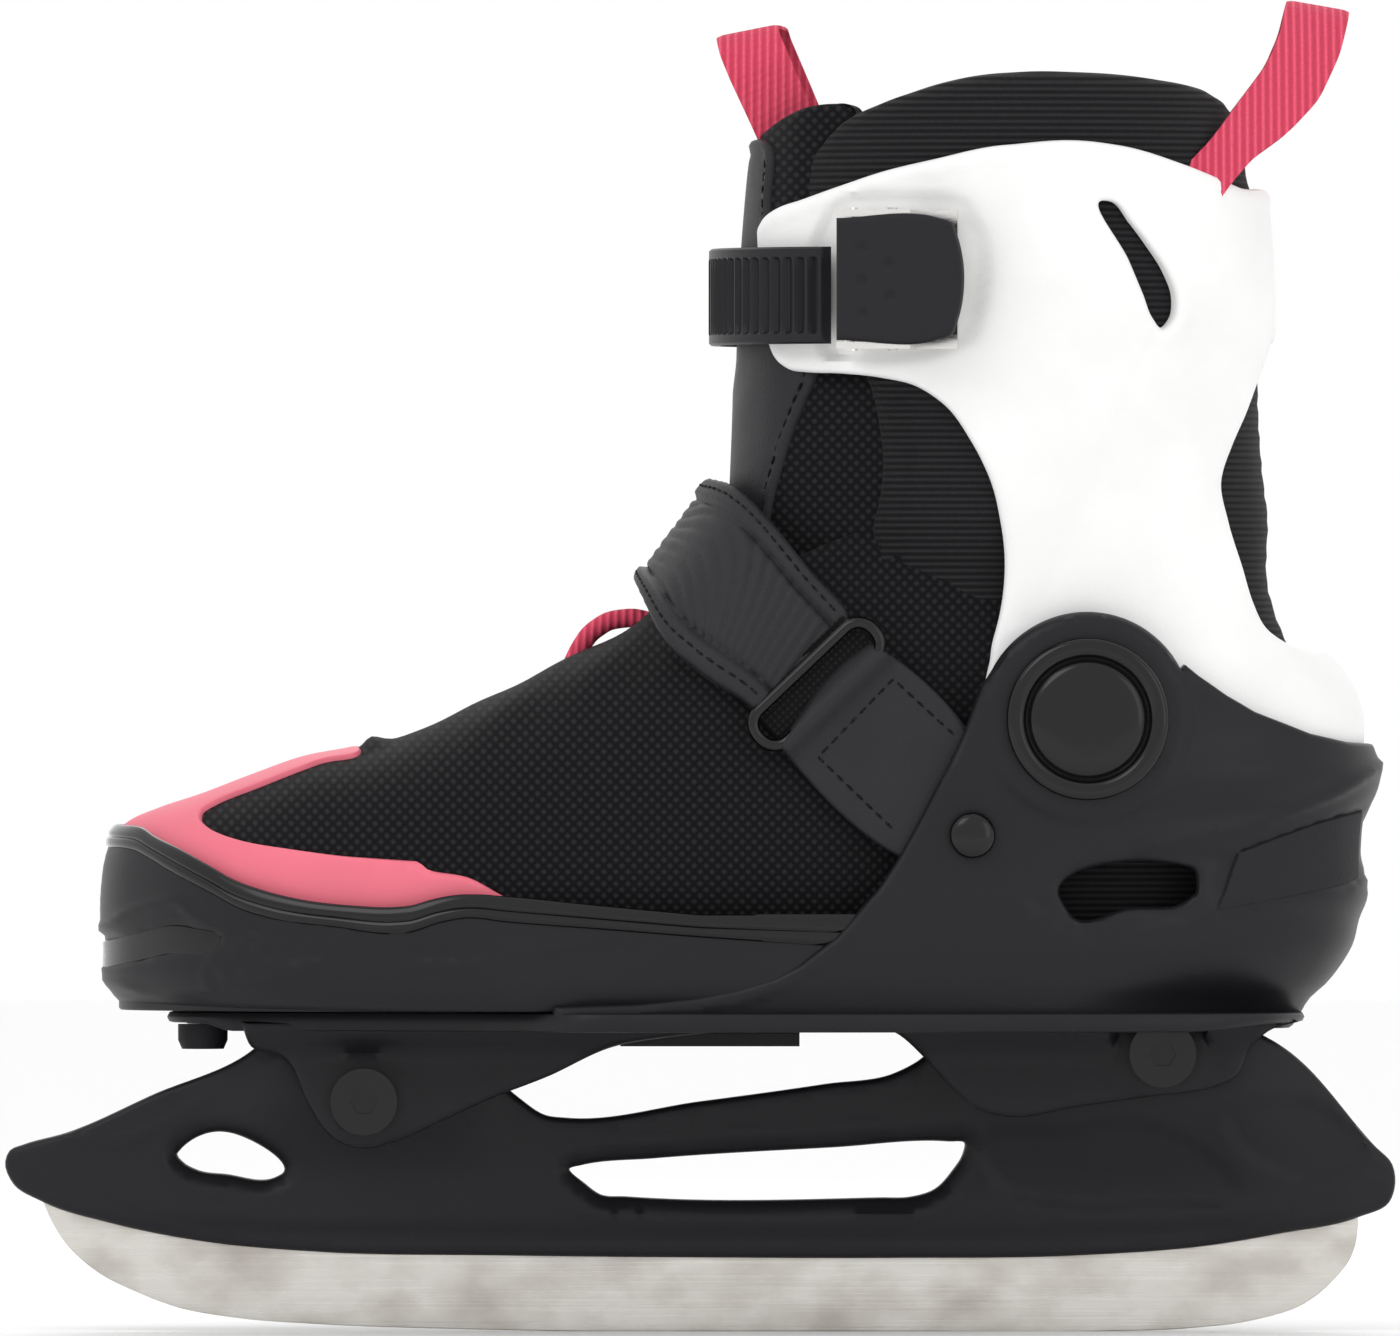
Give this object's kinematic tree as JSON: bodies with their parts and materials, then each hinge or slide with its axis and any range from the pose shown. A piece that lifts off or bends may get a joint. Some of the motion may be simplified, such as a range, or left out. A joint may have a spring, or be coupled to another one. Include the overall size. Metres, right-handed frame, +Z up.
{
  "type": "ice skate",
  "caption": "Recreational ice skate with steel runner, hinged cuff, ratchet buckle, instep strap and sliding toe shell for size.",
  "frame": {"origin": "on the flat lowest face of the runner, in the middle of its thickness and halfway along the skate", "axes": "+X from toe to heel, -Y to the outer side of the foot with the buckle, +Z up"},
  "size_m": [0.2794, 0.1072, 0.2694],
  "materials": {
    "steel_runner": "satin, brushed lengthwise",
    "black_plastic": "satin, fine grain",
    "grain_plastic": "matte, grained",
    "gloss_black": "gloss",
    "white_cuff": "matte, fine grain",
    "zinc_steel": "satin",
    "chrome": "polished",
    "nylon": "satin",
    "liner_fabric": "knit mesh",
    "upper_mesh": "woven mesh",
    "black_leather": "grained synthetic leather",
    "black_webbing": "woven webbing",
    "pink_overlay": "smooth matte film",
    "pink_webbing": "ribbed webbing"
  },
  "bodies": {
    "heel_frame": {"blade": "steel_runner", "blade_holder": "black_plastic", "front_bolt": "gloss_black", "rear_bolt": "gloss_black", "front_nut": "gloss_black", "rear_nut": "gloss_black", "heel_shell": "black_plastic", "heel_side_panels": "grain_plastic", "button_spring": "zinc_steel", "insole": "liner_fabric", "liner_lower": "liner_fabric", "tongue_lower": "black_leather", "upper_quarter": "upper_mesh", "strap_base": "black_webbing", "strap_ring": "gloss_black", "strap_tabs": "black_leather", "strap_rivets": "gloss_black", "pivot_pins": "zinc_steel", "pivot_washers": "nylon", "pivot_cap_lateral": "gloss_black", "pivot_cap_medial": "gloss_black"},
    "toe_box": {"toe_shell": "black_plastic", "toe_welt": "gloss_black", "toe_bumper": "gloss_black", "slide_rail": "black_plastic", "upper_vamp": "upper_mesh", "toe_overlay": "pink_overlay", "instep_lace": "pink_webbing"},
    "cuff": {"cuff": "white_cuff", "cuff_bushes": "nylon", "liner_upper": "liner_fabric", "liner_collar": "liner_fabric", "tongue_upper": "black_leather", "tongue_loop": "pink_webbing", "heel_loop": "pink_webbing", "buckle_base": "chrome", "buckle_rivets": "chrome", "lever_pin": "chrome", "pawl_pin": "zinc_steel", "ladder_strap": "black_plastic", "ladder_screw": "chrome"},
    "buckle_lever": {"buckle_lever": "grain_plastic"},
    "pawl": {"pawl": "zinc_steel"},
    "strap_flap": {"strap_flap": "black_leather"},
    "size_button": {"size_button": "grain_plastic"}
  },
  "joints": [
    {"name": "cuff_flex", "type": "hinge", "parent": "heel_frame", "child": "cuff", "pos_m": [0.0774, 0, 0.1232], "axis": [0, -1, 0], "range_deg": [-2, 12]},
    {"name": "toe_extend", "type": "slide", "parent": "heel_frame", "child": "toe_box", "axis": [-1, 0, 0], "range_m": [0, 0.027]},
    {"name": "lever_open", "type": "hinge", "parent": "cuff", "child": "buckle_lever", "pos_m": [0.03, -0.0468, 0.211], "axis": [0, 0, -1], "range_deg": [0, 85]},
    {"name": "pawl_release", "type": "hinge", "parent": "cuff", "child": "pawl", "pos_m": [0.0384, -0.04864, 0.211], "axis": [0, 0, 1], "range_deg": [0, 12], "stiffness_Nm_per_rad": 0.002, "springref_deg": -5.73},
    {"name": "flap_peel", "type": "hinge", "parent": "heel_frame", "child": "strap_flap", "pos_m": [0.0239, -0.0447, 0.12984], "axis": [0.7242, 0, 0.6896], "range_deg": [0, 70]},
    {"name": "button_press", "type": "slide", "parent": "heel_frame", "child": "size_button", "axis": [0, 0, 1], "range_m": [0, 0.0015], "stiffness_N_per_m": 800, "springref_m": -0.0005, "deforming": ["button_spring"]}
  ]
}
